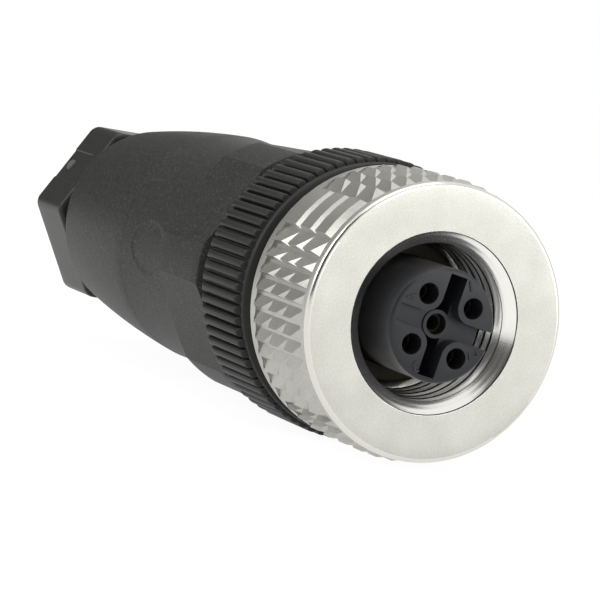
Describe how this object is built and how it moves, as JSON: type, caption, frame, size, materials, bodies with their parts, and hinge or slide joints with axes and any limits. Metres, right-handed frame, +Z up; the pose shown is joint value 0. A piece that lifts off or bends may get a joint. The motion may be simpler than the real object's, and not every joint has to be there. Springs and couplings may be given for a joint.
{
  "type": "m12 connector",
  "caption": "Straight female M12 circular connector for field wiring, with a knurled metal coupling nut, ribbed collar, black grip sleeve and hexagonal gland nut.",
  "frame": {"origin": "on the plug axis, in the plane of the coupling nut's front face, where its thread opens", "axes": "+X along the plug axis towards the mate, +Z up, +Y to the right as seen from the mating side"},
  "size_m": [0.06, 0.0204, 0.0204],
  "materials": {
    "nickel": "satin nickel plate",
    "insert_plastic": "smooth moulded",
    "collar_plastic": "moulded, low sheen",
    "sleeve_plastic": "spark-eroded mould texture",
    "gland_plastic": "smooth moulded",
    "block_plastic": "moulded",
    "cage_plastic": "moulded",
    "seal_rubber": "matt",
    "gold": "flash gold plated",
    "screw_steel": "zinc plated"
  },
  "bodies": {
    "connector_body": {"contact_insert": "insert_plastic", "face_seal": "seal_rubber", "ribbed_collar": "collar_plastic", "terminal_block": "block_plastic", "body_seal": "seal_rubber", "contact_1": "gold", "contact_2": "gold", "contact_3": "gold", "contact_4": "gold", "contact_5": "gold"},
    "nut": {"coupling_nut": "nickel"},
    "seal": {"cable_seal": "seal_rubber"},
    "sleeve": {"grip_sleeve": "sleeve_plastic"},
    "cage": {"clamp_cage": "cage_plastic"},
    "gland": {"gland_nut": "gland_plastic"},
    "plate_1": {"pressure_plate_1": "screw_steel"},
    "screw_1": {"terminal_screw_1": "screw_steel"},
    "plate_2": {"pressure_plate_2": "screw_steel"},
    "screw_2": {"terminal_screw_2": "screw_steel"},
    "plate_3": {"pressure_plate_3": "screw_steel"},
    "screw_3": {"terminal_screw_3": "screw_steel"},
    "plate_4": {"pressure_plate_4": "screw_steel"},
    "screw_4": {"terminal_screw_4": "screw_steel"},
    "plate_5": {"pressure_plate_5": "screw_steel"},
    "screw_5": {"terminal_screw_5": "screw_steel"}
  },
  "joints": [
    {"name": "nut_spin", "type": "hinge", "parent": "connector_body", "child": "nut", "pos_m": [0, 0, 0], "axis": [1, 0, 0], "continuous": true},
    {"name": "sleeve_travel", "type": "slide", "parent": "connector_body", "child": "seal", "axis": [-1, 0, 0], "range_m": [0, 0.00401]},
    {"name": "sleeve_turn", "type": "hinge", "parent": "seal", "child": "sleeve", "pos_m": [-0.02, 0, 0], "axis": [-1, 0, 0], "range_deg": [0, 1440]},
    {"name": "cage_travel", "type": "slide", "parent": "sleeve", "child": "cage", "axis": [-1, 0, 0], "range_m": [0, 0.00301]},
    {"name": "gland_turn", "type": "hinge", "parent": "cage", "child": "gland", "pos_m": [-0.055, 0, 0], "axis": [-1, 0, 0], "range_deg": [0, 1080]},
    {"name": "plate_1_travel", "type": "slide", "parent": "connector_body", "child": "plate_1", "axis": [0, -0.8121, -0.5835], "range_m": [0, 0.0012]},
    {"name": "screw_1_turn", "type": "hinge", "parent": "plate_1", "child": "screw_1", "pos_m": [-0.0274, 0.00447, 0.00321], "axis": [0, -0.8121, -0.5835], "range_deg": [0, 1081]},
    {"name": "plate_2_travel", "type": "slide", "parent": "connector_body", "child": "plate_2", "axis": [0, -0.5835, 0.8121], "range_m": [0, 0.0012]},
    {"name": "screw_2_turn", "type": "hinge", "parent": "plate_2", "child": "screw_2", "pos_m": [-0.0274, 0.00321, -0.00447], "axis": [0, -0.5835, 0.8121], "range_deg": [0, 1081]},
    {"name": "plate_3_travel", "type": "slide", "parent": "connector_body", "child": "plate_3", "axis": [0, 0.8121, 0.5835], "range_m": [0, 0.0012]},
    {"name": "screw_3_turn", "type": "hinge", "parent": "plate_3", "child": "screw_3", "pos_m": [-0.0274, -0.00447, -0.00321], "axis": [0, 0.8121, 0.5835], "range_deg": [0, 1081]},
    {"name": "plate_4_travel", "type": "slide", "parent": "connector_body", "child": "plate_4", "axis": [0, 0.5835, -0.8121], "range_m": [0, 0.0012]},
    {"name": "screw_4_turn", "type": "hinge", "parent": "plate_4", "child": "screw_4", "pos_m": [-0.0274, -0.00321, 0.00447], "axis": [0, 0.5835, -0.8121], "range_deg": [0, 1081]},
    {"name": "plate_5_travel", "type": "slide", "parent": "connector_body", "child": "plate_5", "axis": [0, -0.9869, 0.1616], "range_m": [0, 0.0012]},
    {"name": "screw_5_turn", "type": "hinge", "parent": "plate_5", "child": "screw_5", "pos_m": [-0.0384, 0.00296, -0.00049], "axis": [0, -0.9869, 0.1616], "range_deg": [0, 1081]}
  ],
  "couplings": [
    {"joint": "sleeve_travel", "follows": "sleeve_turn", "m_per_rad": 0.00015915},
    {"joint": "cage_travel", "follows": "gland_turn", "m_per_rad": 0.00015915},
    {"joint": "screw_1_turn", "follows": "plate_1_travel", "rad_per_m": 15708},
    {"joint": "screw_2_turn", "follows": "plate_2_travel", "rad_per_m": 15708},
    {"joint": "screw_3_turn", "follows": "plate_3_travel", "rad_per_m": 15708},
    {"joint": "screw_4_turn", "follows": "plate_4_travel", "rad_per_m": 15708},
    {"joint": "screw_5_turn", "follows": "plate_5_travel", "rad_per_m": 15708}
  ]
}
